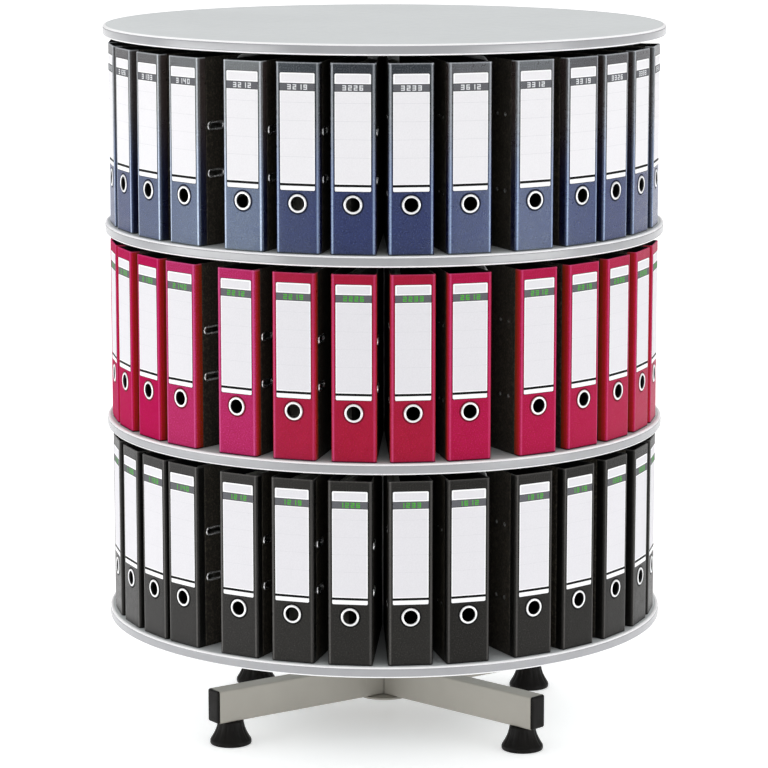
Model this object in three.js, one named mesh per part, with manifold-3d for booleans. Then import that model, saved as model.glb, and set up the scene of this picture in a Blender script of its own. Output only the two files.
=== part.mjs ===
// Three-tier rotary filing cabinet: an X base of rectangular tube on four levelling feet, a fixed
// column with a fixed top plate, and three round shelves that each turn on their own bearing.
// Millimetres, +Z up, the front of the cabinet towards -Y, origin on the floor under the column.
import * as THREE from 'three';
import { mergeVertices } from 'three/addons/utils/BufferGeometryUtils.js';
import Module from 'manifold-3d';

// ---- driving dimensions ----
const PLATE_R = 500;            // outside radius of shelves and top plate, edge band included
const BOARD = 19;               // board thickness
const BAND = 5.7;               // radial thickness of the edge band
const GAP = 0.3;                // clearance between touching pieces
const TIERS = { bottom: 220, middle: 570, top: 920 };   // top surface of each shelf
const HEIGHT = 1270;            // top surface of the top plate

const BEAM_W = 35, BEAM_H = 60, BEAM_WALL = 2, BEAM_Z = 43;   // base tube and its underside
const BEAM_END = 368;           // from the centre to a tube's end
const FOOT_AT = 335;            // from the centre to a foot's axis
const LONG_ANGLE = -55;         // long beam, from the front towards +X, degrees
const CROSS_ANGLE = 47;         // crossing half beams
const CAP_T = 4, CAP_PLUG = 14; // end cap plate and plug
const FOOT_R = 37, FOOT_TOP_R = 22;
const STUD_R = 5;

const COLUMN_R = 38, COLUMN_WALL = 3;
const FLANGE_R = 80, FLANGE_T = 8, SOCKET_R = 46, SOCKET_TOP = 168;
const BRACKET_R = 120, BRACKET_T = 6;
const HUB_R = 95, HUB_T = 6, NECK_R = 52;
const COLLAR_R = 58, COLLAR_H = 18, THRUST_T = 4;

const SLEEVE_R = 53, SLEEVE_T = 3, SLEEVE_H = 285;
const FIN_R = 430, FIN_T = 2, FIN_H = 320, FIN_STEP_R = 128;
const FINS = [24, 84, 144, 204, 264, 324];   // divider sheets, degrees from the front towards +X

const FILE_W = 78, FILE_EDGE = 30, FILE_D = 285, FILE_H = 318;   // spine, fore-edge, depth, height
const FILE_CORNER = 8;          // rounding of the spine's upright edges
const SPINE_R = 490;            // from the column's axis to a file's spine
const FILES = {
  bottom: {
    left: [-89, -78, -66.2, -55.2, -45.3], front: [-30.5, -18.6, -6.8, 5.2], right: [31.4, 43.1, 55.4, 67.8, 78.9],
    back: [151, 162.5, 174, 185.5, 197], back_left: [211, 222.5, 234, 245.5, 257], single: 16.9,
  },
  middle: {
    left: [-89, -79, -68.4, -56.5, -45.3], front: [-30.6, -18.1, -6, 5.6], right: [32.1, 44, 55.7, 67.5, 78.5],
    back: [151, 162.5, 174, 185.5, 197], back_left: [211, 222.5, 234, 245.5, 257], single: 17,
  },
  top: {
    left: [-89, -79.2, -68, -55.5, -43.8], front: [-28.8, -17.1, -6.1, 5.2], right: [30.9, 43.1, 53.9, 65.5, 77.5],
    back: [151, 162.5, 174, 185.5, 197], back_left: [211, 222.5, 234, 245.5, 257], single: 16.9,
  },
};
const FINGER_R = 12, FINGER_DEPTH = 24, FINGER_Z = 84;   // finger hole in a single file's spine

// ---- solids ----
const wasm = await Module();
wasm.setup();

// closed mesh with shared vertices, no empty triangles, faces pointing out
function clean(geometry) {
  let g = geometry.index ? geometry : geometry.clone();
  g.deleteAttribute('normal');
  g.deleteAttribute('uv');
  g = mergeVertices(g, 1e-4);
  const p = g.attributes.position, ix = g.index.array, keep = [];
  let volume = 0;
  const a = new THREE.Vector3(), b = new THREE.Vector3(), c = new THREE.Vector3();
  for (let i = 0; i < ix.length; i += 3) {
    const [u, v, w] = [ix[i], ix[i + 1], ix[i + 2]];
    if (u === v || v === w || u === w) continue;
    keep.push(u, v, w);
    a.fromBufferAttribute(p, u); b.fromBufferAttribute(p, v); c.fromBufferAttribute(p, w);
    volume += a.dot(b.cross(c));
  }
  if (volume < 0) for (let i = 0; i < keep.length; i += 3) [keep[i], keep[i + 1]] = [keep[i + 1], keep[i]];
  g.setIndex(keep);
  return g;
}
function toSolid(geometry) {
  const g = clean(geometry);
  return new wasm.Manifold(new wasm.Mesh({
    numProp: 3,
    vertProperties: new Float32Array(g.attributes.position.array),
    triVerts: new Uint32Array(g.index.array),
  }));
}
function toGeometry(solid) {
  const m = solid.getMesh();
  const g = new THREE.BufferGeometry();
  const n = m.vertProperties.length / m.numProp, pos = new Float32Array(n * 3);
  for (let i = 0; i < n; i++) for (let k = 0; k < 3; k++) pos[i * 3 + k] = m.vertProperties[i * m.numProp + k];
  g.setAttribute('position', new THREE.BufferAttribute(pos, 3));
  g.setIndex(Array.from(m.triVerts));
  return g;
}
const join = (...geoms) => toGeometry(geoms.map(toSolid).reduce((s, t) => s.add(t)));
const cut = (base, ...tools) => toGeometry(tools.map(toSolid).reduce((s, t) => s.subtract(t), toSolid(base)));
const common = (a, b) => toGeometry(toSolid(a).intersect(toSolid(b)));

// a turned piece: [radius, height] points, from the axis back to the axis or closed into a ring
function turned(points, segments, ring = false) {
  const pts = points.map(([r, z]) => new THREE.Vector2(r, z));
  if (ring) pts.push(pts[0].clone());
  return clean(new THREE.LatheGeometry(pts, segments).rotateX(Math.PI / 2));
}
function block(x0, x1, y0, y1, z0, z1) {
  return new THREE.BoxGeometry(x1 - x0, y1 - y0, z1 - z0).translate((x0 + x1) / 2, (y0 + y1) / 2, (z0 + z1) / 2);
}
function prism(points, z0, z1) {
  const shape = new THREE.Shape(points.map(([x, y]) => new THREE.Vector2(x, y)));
  return new THREE.ExtrudeGeometry(shape, { depth: z1 - z0, bevelEnabled: false }).translate(0, 0, z0);
}
// a round bar along Z
const bar = (x, y, r, z0, z1, n) => turned([[0, z0], [r, z0], [r, z1], [0, z1]], n).translate(x, y, 0);

// turns a piece drawn along -Y to an angle from the front towards +X
const rad = THREE.MathUtils.degToRad;
const swing = (geometry, degrees) => geometry.rotateZ(rad(degrees));
const at = (r, degrees) => [r * Math.sin(rad(degrees)), -r * Math.cos(rad(degrees))];

// ---- finishes ----
const finish = (color, roughness, metalness = 0) => () => new THREE.MeshStandardMaterial({ color, roughness, metalness });
const board = finish(0xd2d5d6, 0.45);
const band = finish(0xc6c9ca, 0.35);
const tube = finish(0x99968c, 0.45, 0.2);
const black = finish(0x262422, 0.5);
const pale = finish(0xe4e5e4, 0.4, 0.1);
const steel = finish(0x9a9c9e, 0.35, 0.9);
const nylon = finish(0xe8e4d8, 0.5);
const cover = { bottom: finish(0x3f3d3b, 0.6), middle: finish(0xb02447, 0.5), top: finish(0x3d4b78, 0.5) };

const cabinet = new THREE.Group();
function place(group, name, geometry, material) {
  const mesh = new THREE.Mesh(clean(geometry), material());
  mesh.name = name;
  group.add(mesh);
}

// ---- base ----
const base = new THREE.Group();
cabinet.add(base);

const beamTop = BEAM_Z + BEAM_H;
const hollow = (y0, y1) => cut(
  block(-BEAM_W / 2, BEAM_W / 2, y0, y1, BEAM_Z, beamTop),
  block(-BEAM_W / 2 + BEAM_WALL, BEAM_W / 2 - BEAM_WALL, y0 - 1, y1 + 1, BEAM_Z + BEAM_WALL, beamTop - BEAM_WALL),
);
const studHole = (y) => bar(0, y, STUD_R + 0.5, BEAM_Z - 1, BEAM_Z + BEAM_WALL + 1, 16);

place(base, 'base_beam_long',
  swing(cut(hollow(-BEAM_END, BEAM_END), studHole(-FOOT_AT), studHole(FOOT_AT)), LONG_ANGLE), tube);
{
  // the half beams butt against the sides of the long one
  const long = swing(block(-BEAM_W / 2 - GAP, BEAM_W / 2 + GAP, -600, 600, 0, 200), LONG_ANGLE);
  for (const [name, degrees] of [['base_beam_front_right', CROSS_ANGLE], ['base_beam_back_left', CROSS_ANGLE + 180]]) {
    const half = swing(cut(hollow(-BEAM_END, 0), studHole(-FOOT_AT)), degrees);
    const side = swing(block(-300, 300, -600, -BEAM_W, 0, 200), degrees);
    // what is left on the outer side of the long beam
    const pieces = toSolid(half).subtract(toSolid(long)).decompose();
    const outer = pieces.reduce((p, q) => (p.intersect(toSolid(side)).volume() > q.intersect(toSolid(side)).volume() ? p : q));
    place(base, name, toGeometry(outer), tube);
  }
}

const corners = {
  front_left: LONG_ANGLE, front_right: CROSS_ANGLE, back_right: LONG_ANGLE + 180, back_left: CROSS_ANGLE + 180,
};
for (const [corner, degrees] of Object.entries(corners)) {
  const w = BEAM_W / 2 - BEAM_WALL - GAP, end = -BEAM_END - GAP;
  place(base, `end_cap_${corner}`, swing(join(
    block(-BEAM_W / 2, BEAM_W / 2, end - CAP_T, end, BEAM_Z, beamTop),
    block(-w, w, end - 1, end + CAP_PLUG, BEAM_Z + BEAM_WALL + GAP, beamTop - BEAM_WALL - GAP),
  ), degrees), black);

  const [x, y] = at(FOOT_AT, degrees);
  place(base, `foot_${corner}`, turned([
    [0, 0], [FOOT_R, 0], [FOOT_R, 5], [34, 8], [28.5, 14], [25.5, 22], [23.5, 32], [FOOT_TOP_R, BEAM_Z - GAP],
    [STUD_R + GAP, BEAM_Z - GAP], [STUD_R + GAP, 14], [0, 14],
  ], 20).translate(x, y, 0), black);
  place(base, `foot_stud_${corner}`, bar(x, y, STUD_R, 14 + GAP, 80, 12), steel);
}

place(base, 'base_hub_disc', turned([[0, 36.5], [41, 36.5], [41, BEAM_Z - GAP], [0, BEAM_Z - GAP]], 28), tube);
const flangeZ = beamTop + GAP;
place(base, 'column_socket', turned([
  [0, flangeZ], [FLANGE_R, flangeZ], [FLANGE_R, flangeZ + FLANGE_T], [SOCKET_R, flangeZ + FLANGE_T],
  [SOCKET_R, SOCKET_TOP], [COLUMN_R + GAP, SOCKET_TOP], [COLUMN_R + GAP, flangeZ + FLANGE_T], [0, flangeZ + FLANGE_T],
], 24), tube);

// ---- column and fixed top plate ----
const mast = new THREE.Group();
cabinet.add(mast);
const plateZ = HEIGHT - BOARD;
const bracketZ = plateZ - GAP - BRACKET_T;
place(mast, 'column_tube', turned([
  [COLUMN_R - COLUMN_WALL, flangeZ + FLANGE_T + GAP], [COLUMN_R, flangeZ + FLANGE_T + GAP],
  [COLUMN_R, bracketZ - GAP], [COLUMN_R - COLUMN_WALL, bracketZ - GAP],
], 24, true), pale);
place(mast, 'top_bracket', turned([
  [0, bracketZ - 45], [COLUMN_R - COLUMN_WALL - 0.5, bracketZ - 45], [COLUMN_R - COLUMN_WALL - 0.5, bracketZ],
  [BRACKET_R, bracketZ], [BRACKET_R, bracketZ + BRACKET_T], [0, bracketZ + BRACKET_T],
], 24), pale);

const boardR = PLATE_R - BAND - GAP;
const edge = (z) => turned([
  [PLATE_R - BAND, z], [PLATE_R - 2.4, z], [PLATE_R, z + 4], [PLATE_R, z + BOARD - 4], [PLATE_R - 2.4, z + BOARD],
  [PLATE_R - BAND, z + BOARD],
], 48, true);
place(mast, 'top_plate', turned([[0, plateZ], [boardR, plateZ], [boardR, HEIGHT], [0, HEIGHT]], 48), board);
place(mast, 'top_edge_band', edge(plateZ), band);

// ---- tiers ----
// a file is a wedge: wide at its spine with rounded upright edges, pinched at its fore-edge
const wedge = (z) => {
  const c = FILE_W / 2 - FILE_CORNER, points = [[-FILE_EDGE / 2, FILE_D - SPINE_R]];
  for (const [side, angles] of [[-1, [180, 210, 240, 270]], [1, [270, 300, 330, 360]]]) {
    for (const a of angles) points.push([side * c + FILE_CORNER * Math.cos(rad(a)), FILE_CORNER - SPINE_R + FILE_CORNER * Math.sin(rad(a))]);
  }
  points.push([FILE_EDGE / 2, FILE_D - SPINE_R]);
  return prism(points, z, z + FILE_H);
};

for (const [tier, z] of Object.entries(TIERS)) {
  const stage = new THREE.Group();
  cabinet.add(stage);
  const under = z - BOARD;
  const hubZ = under - GAP - HUB_T;
  const thrustZ = hubZ - GAP - THRUST_T;

  place(mast, `bearing_collar_${tier}`, turned([
    [COLUMN_R + GAP, thrustZ - GAP - COLLAR_H], [COLLAR_R, thrustZ - GAP - COLLAR_H],
    [COLLAR_R, thrustZ - GAP], [COLUMN_R + GAP, thrustZ - GAP],
  ], 24, true), steel);
  place(stage, `thrust_ring_${tier}`, turned([
    [COLUMN_R + 1, thrustZ], [COLLAR_R, thrustZ], [COLLAR_R, thrustZ + THRUST_T], [COLUMN_R + 1, thrustZ + THRUST_T],
  ], 24, true), nylon);
  place(stage, `hub_${tier}`, turned([
    [COLUMN_R + 0.6, hubZ], [HUB_R, hubZ], [HUB_R, hubZ + HUB_T], [NECK_R, hubZ + HUB_T], [NECK_R, z + 10], [COLUMN_R + 0.6, z + 10],
  ], 24, true), steel);
  place(stage, `shelf_${tier}`, turned([
    [NECK_R + GAP, under], [boardR, under], [boardR, z], [NECK_R + GAP, z],
  ], 48, true), board);
  place(stage, `shelf_edge_band_${tier}`, edge(under), band);

  // divider sheets welded to a sleeve round the column
  const foot = z + GAP;
  const sleeve = turned([
    [SLEEVE_R, foot], [SLEEVE_R + SLEEVE_T, foot], [SLEEVE_R + SLEEVE_T, foot + SLEEVE_H], [SLEEVE_R, foot + SLEEVE_H],
  ], 24, true);
  const fin = () => join(
    block(-FIN_T / 2, FIN_T / 2, -FIN_R, -SLEEVE_R - SLEEVE_T / 2, foot, foot + SLEEVE_H),
    block(-FIN_T / 2, FIN_T / 2, -FIN_R, -FIN_STEP_R, foot, foot + FIN_H),
  );
  place(stage, `divider_star_${tier}`, join(sleeve, ...FINS.map((degrees) => swing(fin(), degrees))), pale);

  const files = FILES[tier];
  for (const bay of ['left', 'front', 'right', 'back', 'back_left']) {
    const set = files[bay], solids = set.map((degrees) => swing(wedge(foot), degrees));
    for (let i = 1; i < set.length; i++) {
      // the files of a bay stand against each other, held by a low strip at their fore-edges
      solids.push(prism([at(212, set[i - 1]), at(222, set[i - 1]), at(222, set[i]), at(212, set[i])], foot, foot + 12));
    }
    place(stage, `files_${tier}_${bay}`, join(...solids), cover[tier]);
  }
  // one file of each tier stands free, with the finger hole that it is pulled out by
  const hole = new THREE.CylinderGeometry(FINGER_R, FINGER_R, FINGER_DEPTH + 2, 12)
    .translate(0, -SPINE_R + FINGER_DEPTH / 2 - 1, foot + FINGER_Z);
  place(stage, `file_${tier}_single`, swing(cut(wedge(foot), hole), files.single), cover[tier]);
}

export default cabinet;
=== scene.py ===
import math
import random

import bmesh
import bpy
from mathutils import Matrix, Vector


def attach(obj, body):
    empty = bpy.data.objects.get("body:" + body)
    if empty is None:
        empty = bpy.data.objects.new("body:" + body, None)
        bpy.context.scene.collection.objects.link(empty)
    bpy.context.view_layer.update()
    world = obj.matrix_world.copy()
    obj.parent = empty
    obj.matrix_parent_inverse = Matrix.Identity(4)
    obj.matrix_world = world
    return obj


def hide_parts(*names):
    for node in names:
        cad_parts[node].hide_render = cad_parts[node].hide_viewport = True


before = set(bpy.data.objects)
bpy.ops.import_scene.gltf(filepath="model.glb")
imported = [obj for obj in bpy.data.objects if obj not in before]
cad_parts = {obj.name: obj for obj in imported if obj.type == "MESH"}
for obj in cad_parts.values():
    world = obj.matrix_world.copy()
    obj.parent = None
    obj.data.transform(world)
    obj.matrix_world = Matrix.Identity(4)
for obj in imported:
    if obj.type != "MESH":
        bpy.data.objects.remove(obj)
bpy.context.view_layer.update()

MM = 0.001

# ---------------------------------------------------------------- sizes, in millimetres, as in the CAD model
PLATE_R, BOARD, BAND, GAP = 500.0, 19.0, 5.7, 0.3
BOARD_R = PLATE_R - BAND - GAP
TIERS = {"bottom": 220.0, "middle": 570.0, "top": 920.0}
HEIGHT = 1270.0
BEAM_W, BEAM_H, BEAM_Z = 35.0, 60.0, 43.0
BEAM_END, FOOT_AT = 368.0, 335.0
LONG_ANGLE, CROSS_ANGLE = -55.0, 47.0
CORNERS = {
    "front_left": LONG_ANGLE,
    "front_right": CROSS_ANGLE,
    "back_right": LONG_ANGLE + 180,
    "back_left": CROSS_ANGLE + 180,
}
COLUMN_R = 38.0
FINS = [24, 84, 144, 204, 264, 324]
FILE_H, FILE_D, SPINE_R = 318.0, 285.0, 490.0
FILES = {
    "bottom": {
        "left": [-89, -78, -66.2, -55.2, -45.3],
        "front": [-30.5, -18.6, -6.8, 5.2],
        "right": [31.4, 43.1, 55.4, 67.8, 78.9],
        "back": [151, 162.5, 174, 185.5, 197],
        "back_left": [211, 222.5, 234, 245.5, 257],
        "single": [16.9],
    },
    "middle": {
        "left": [-89, -79, -68.4, -56.5, -45.3],
        "front": [-30.6, -18.1, -6, 5.6],
        "right": [32.1, 44, 55.7, 67.5, 78.5],
        "back": [151, 162.5, 174, 185.5, 197],
        "back_left": [211, 222.5, 234, 245.5, 257],
        "single": [17.0],
    },
    "top": {
        "left": [-89, -79.2, -68, -55.5, -43.8],
        "front": [-28.8, -17.1, -6.1, 5.2],
        "right": [30.9, 43.1, 53.9, 65.5, 77.5],
        "back": [151, 162.5, 174, 185.5, 197],
        "back_left": [211, 222.5, 234, 245.5, 257],
        "single": [16.9],
    },
}


# ---------------------------------------------------------------- materials
def lin(r, g, b):
    """sRGB 0-255 to linear."""
    out = []
    for c in (r, g, b):
        c /= 255.0
        out.append(c / 12.92 if c <= 0.04045 else ((c + 0.055) / 1.055) ** 2.4)
    return out


class Finish:
    """A node material: tones from noise, roughness from noise, and a bump of grain."""

    def __init__(self, name, metal=0.0, spec=0.5, coat=0.0, coat_rough=0.1):
        self.m = bpy.data.materials.new(name)
        self.m.use_nodes = True
        self.nt = self.m.node_tree
        self.b = next(n for n in self.nt.nodes if n.type == "BSDF_PRINCIPLED")
        self.b.inputs["Metallic"].default_value = metal
        self.b.inputs["Specular IOR Level"].default_value = spec
        if coat:
            self.b.inputs["Coat Weight"].default_value = coat
            self.b.inputs["Coat Roughness"].default_value = coat_rough
        self.place = self.node("ShaderNodeTexCoord").outputs["Object"]

    def node(self, kind, **props):
        n = self.nt.nodes.new(kind)
        for k, v in props.items():
            setattr(n, k, v)
        return n

    def link(self, a, b):
        self.nt.links.new(a, b)

    def stretched(self, scale):
        n = self.node("ShaderNodeMapping")
        n.inputs["Scale"].default_value = scale
        self.link(self.place, n.inputs["Vector"])
        return n.outputs["Vector"]

    def noise(self, scale, detail=3.0, rough=0.5, place=None):
        n = self.node("ShaderNodeTexNoise")
        n.inputs["Scale"].default_value = scale
        n.inputs["Detail"].default_value = detail
        n.inputs["Roughness"].default_value = rough
        self.link(place or self.place, n.inputs["Vector"])
        return n.outputs["Fac"]

    def cells(self, scale, edge=False, place=None):
        n = self.node("ShaderNodeTexVoronoi")
        n.feature = "DISTANCE_TO_EDGE" if edge else "F1"
        n.inputs["Scale"].default_value = scale
        self.link(place or self.place, n.inputs["Vector"])
        return n.outputs["Distance"]

    def range(self, value, a, b, to_a=0.0, to_b=1.0, smooth=False):
        n = self.node("ShaderNodeMapRange")
        if smooth:
            n.interpolation_type = "SMOOTHSTEP"
        self.link(value, n.inputs["Value"])
        for k, v in (("From Min", a), ("From Max", b), ("To Min", to_a), ("To Max", to_b)):
            n.inputs[k].default_value = v
        return n.outputs["Result"]

    def math(self, op, a, b=None):
        n = self.node("ShaderNodeMath", operation=op)
        for i, v in enumerate((a, b)):
            if v is None:
                continue
            if isinstance(v, (int, float)):
                n.inputs[i].default_value = v
            else:
                self.link(v, n.inputs[i])
        return n.outputs[0]

    def mix(self, fac, a, b):
        n = self.node("ShaderNodeMix", data_type="RGBA")
        self.link(fac, n.inputs[0])
        for i, v in ((6, a), (7, b)):
            if isinstance(v, (list, tuple)):
                n.inputs[i].default_value = (*v[:3], 1.0)
            else:
                self.link(v, n.inputs[i])
        return n.outputs[2]

    def axis(self, which):
        n = self.node("ShaderNodeSeparateXYZ")
        self.link(self.place, n.inputs[0])
        return n.outputs[which]

    def colour(self, socket):
        self.link(socket, self.b.inputs["Base Color"])

    def rough(self, socket):
        self.link(socket, self.b.inputs["Roughness"])

    def bump(self, height, strength, distance):
        n = self.node("ShaderNodeBump")
        n.inputs["Strength"].default_value = strength
        n.inputs["Distance"].default_value = distance
        self.link(height, n.inputs["Height"])
        self.link(n.outputs["Normal"], self.b.inputs["Normal"])


def painted(name, dark, light, rough, grain=620.0, strength=0.12, scuff=None):
    """Powder coat: fine orange peel, slightly uneven tone, faint scuffs."""
    f = Finish(name)
    tone = f.range(f.noise(7.0, 4.0), 0.32, 0.68)
    c = f.mix(tone, dark, light)
    if scuff:
        marks = f.range(f.noise(38.0, 8.0, 0.72, f.stretched((1.0, 1.0, 0.35))), 0.66, 0.76)
        c = f.mix(f.math("MULTIPLY", marks, 0.5), c, scuff)
    f.colour(c)
    f.rough(f.range(f.noise(24.0, 3.0), 0.3, 0.7, rough - 0.06, rough + 0.08))
    f.bump(f.noise(grain, 2.0, 0.45), strength, 0.0006)
    return f.m


def melamine(name, dark, light, rough):
    """Board film: very fine speckle on a nearly even tone, with a slight pearl texture."""
    f = Finish(name)
    tone = f.range(f.noise(3.0, 3.0), 0.3, 0.7)
    c = f.mix(tone, dark, light)
    speck = f.range(f.noise(900.0, 2.0, 0.7), 0.62, 0.78)
    c = f.mix(f.math("MULTIPLY", speck, 0.22), c, [v * 0.72 for v in dark])
    f.colour(c)
    f.rough(f.range(f.noise(60.0, 4.0), 0.3, 0.7, rough - 0.05, rough + 0.07))
    f.bump(f.noise(420.0, 3.0, 0.6), 0.07, 0.0004)
    return f.m


def moulded(name, dark, light, rough, grain=850.0, strength=0.3, spec=0.5, vary=0.07):
    """Moulded plastic with a spark-eroded grain."""
    f = Finish(name, spec=spec)
    f.colour(f.mix(f.range(f.noise(30.0, 5.0), 0.3, 0.7), dark, light))
    f.rough(f.range(f.noise(45.0, 4.0), 0.3, 0.7, rough - vary, rough + vary))
    f.bump(f.noise(grain, 2.0, 0.6), strength, 0.0004)
    return f.m


def metal(name, dark, light, rough, brushed=None, bare=1.0):
    f = Finish(name, metal=bare)
    place = f.stretched(brushed) if brushed else None
    f.colour(f.mix(f.range(f.noise(60.0, 4.0, 0.5, place), 0.3, 0.7), dark, light))
    f.rough(f.range(f.noise(180.0, 5.0, 0.6, place), 0.3, 0.75, rough - 0.05, rough + 0.1))
    f.bump(f.noise(700.0, 2.0, 0.5, place), 0.05, 0.0002)
    return f.m


def film(name, deep, mid, grain, edge_highlight_tone, turn, back, sheen, spec, rough, edge_highlight_strength, fade=None):
    """Embossed film on a file's spine: pebbled grain with painted shade in the pits and painted glints on the tops,
    tinted sheen, painted highlight lines along the rounded edges and the head, painted contact shade at the foot.

    turn, back: tones of the strip turned onto the covers, next to the spine and next to the cover paper.
    Two arguments set the painted highlight lines: their tone, and how strong they are along the left edge, the right
    edge and the head. fade: tone of the upper part.
    """
    f = Finish(name, spec=spec)
    f.b.inputs["Specular Tint"].default_value = (*sheen, 1.0)
    x, y, z = f.axis(0), f.axis(1), f.axis(2)
    c = f.mix(f.range(f.noise(16.0, 5.0, 0.6), 0.3, 0.7), deep, mid)
    c = f.mix(f.range(y, 0.0012, 0.0030, 0.0, 0.92, True), c, turn)
    c = f.mix(f.range(y, 0.0085, 0.0115, 0.0, 1.0, True), c, back)
    pit = back
    if fade:
        up = f.range(z, 0.085, 0.25, 0.0, 0.93, True)
        c = f.mix(up, c, fade)
        grain = f.mix(up, grain, lin(98, 99, 102))
        pit = f.mix(up, pit, lin(12, 12, 13))
        edge_highlight_tone = f.mix(up, edge_highlight_tone, lin(188, 190, 193))
    pebbles = f.noise(430.0, 3.0, 0.6)
    # the pebbles' relief painted into the colour: painted shade in the pits, painted glints on the tops, fainter off
    # the spine face
    c = f.mix(f.range(pebbles, 0.48, 0.36, 0.0, 0.45), c, pit)
    c = f.mix(f.math("MULTIPLY", f.range(pebbles, 0.52, 0.68, 0.0, 0.75), f.range(y, 0.0012, 0.0040, 1.0, 0.3)), c, grain)
    # painted highlight lines along the front of the rounded left and right edges, broken up by noise
    bend = f.range(y, 0.0003, 0.0011, 1.0, 0.0, True)
    left = f.range(x, -0.0322, -0.0338, 0.0, edge_highlight_strength[0], True)
    right = f.range(x, 0.0322, 0.0338, 0.0, edge_highlight_strength[1], True)
    patchy = f.range(f.noise(240.0, 6.0, 0.72), 0.25, 0.62, 0.45, 1.0)
    c = f.mix(f.math("MULTIPLY", f.math("MULTIPLY", f.math("ADD", left, right), bend), patchy), c, edge_highlight_tone)
    # painted highlight line along the head
    c = f.mix(f.math("MULTIPLY", f.range(z, 0.3152, 0.3170, 0.0, edge_highlight_strength[2], True), patchy), c, edge_highlight_tone)
    # painted contact shade: darker towards the foot, where the spine stands on the shelf
    c = f.mix(f.range(z, 0.0012, 0.0030, 0.9, 0.0, True), c, lin(12, 12, 14))
    f.colour(c)
    f.rough(f.range(f.noise(70.0, 4.0), 0.3, 0.7, rough - 0.04, rough + 0.04))
    pebble = f.math("ADD", pebbles, f.math("MULTIPLY", f.noise(1500.0, 2.0), 0.35))
    f.bump(pebble, 0.55, 0.0009)
    return f.m


def cover_paper(name, dark, light):
    """Marbled cover paper."""
    f = Finish(name, spec=0.35)
    cloud = f.range(f.noise(260.0, 7.0, 0.75), 0.48, 0.72)
    f.colour(f.mix(cloud, dark, light))
    f.rough(f.range(f.noise(90.0, 3.0), 0.3, 0.7, 0.5, 0.66))
    f.bump(f.noise(900.0, 3.0, 0.6), 0.2, 0.0003)
    return f.m


def paper(name, a, b, rough=0.75, fibre=380.0, strength=0.06, spec=0.3):
    f = Finish(name, spec=spec)
    f.colour(f.mix(f.range(f.noise(fibre, 4.0, 0.65), 0.3, 0.7), a, b))
    f.rough(f.range(f.noise(50.0, 3.0), 0.3, 0.7, rough - 0.08, rough + 0.08))
    f.bump(f.noise(fibre * 3.0, 2.0), strength, 0.0002)
    return f.m


def page_edges(name):
    f = Finish(name, spec=0.2)
    lines = f.noise(40.0, 3.0, 0.6, f.stretched((220.0, 2.0, 2.0)))
    f.colour(f.mix(f.range(lines, 0.32, 0.68), lin(205, 202, 194), lin(240, 238, 232)))
    f.rough(f.range(f.noise(60.0, 2.0), 0.3, 0.7, 0.75, 0.9))
    f.bump(lines, 0.3, 0.0004)
    return f.m


M = {
    "board": melamine("board_melamine", lin(203, 207, 208), lin(210, 214, 215), 0.36),
    "band": moulded("edge_band_plastic", lin(155, 156, 159), lin(160, 161, 164), 0.26, 500.0, 0.02, 0.88, 0.01),
    # near-white lips: painted highlights along the rounded edges of the band
    "lip": moulded("edge_lip_painted_highlight", lin(248, 248, 249), lin(250, 250, 251), 0.32, 500.0, 0.03, vary=0.02),
    "base": painted("base_powder_coat", lin(155, 151, 142), lin(166, 162, 153), 0.44, scuff=lin(186, 183, 175)),
    "pale": painted("pale_powder_coat", lin(222, 223, 222), lin(234, 235, 234), 0.42),
    "black": moulded("black_moulded_plastic", lin(12, 10, 9), lin(19, 17, 15), 0.44, spec=0.12),
    "nylon": moulded("natural_nylon", lin(224, 219, 205), lin(236, 232, 220), 0.5, 600.0, 0.12),
    "steel": metal("zinc_plated_steel", lin(168, 170, 172), lin(196, 197, 198), 0.34),
    "chrome": metal("nickel_plate", lin(236, 237, 238), lin(248, 248, 248), 0.26),
    "ring": metal("satin_nickel", lin(238, 239, 240), lin(249, 249, 249), 0.36, bare=0.6),
    "cover": cover_paper("cover_marbled_black", lin(36, 33, 28), lin(94, 87, 74)),
    "lining": paper("lining_dark", lin(24, 24, 24), lin(34, 33, 33), 0.8, 240.0),
    "label": paper("label_white", lin(246, 246, 248), lin(251, 251, 252), 0.62),
    "label_field": paper("label_field", lin(218, 217, 221), lin(225, 224, 228), 0.62),
    "label_field_top": paper("label_field_top", lin(228, 227, 230), lin(235, 234, 237), 0.62),
    "label_band": paper("label_grey_band", lin(84, 85, 90), lin(98, 99, 104), 0.6),
    # black print on the label, also used for the painted shade line round the card
    "label_ink": paper("label_black_line_and_painted_shade", lin(8, 8, 9), lin(15, 15, 16), 0.6, spec=0.1),
    "rim_top": paper("rim_shade_blue", lin(20, 26, 46), lin(26, 32, 54), 0.6, spec=0.1),
    "rim_middle": paper("rim_shade_red", lin(104, 6, 32), lin(116, 9, 38), 0.6, spec=0.1),
    "rim_bottom": paper("rim_shade_black", lin(8, 8, 9), lin(14, 14, 15), 0.6, spec=0.1),
    "label_rule": paper("label_rule_grey", lin(206, 206, 210), lin(213, 213, 217), 0.62),
    "code_top": paper("label_code_pale", lin(214, 216, 218), lin(228, 230, 232), 0.6),
    "code_other": paper("label_code_green", lin(58, 160, 34), lin(76, 182, 48), 0.6),
    "pages": page_edges("page_edges"),
}
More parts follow.
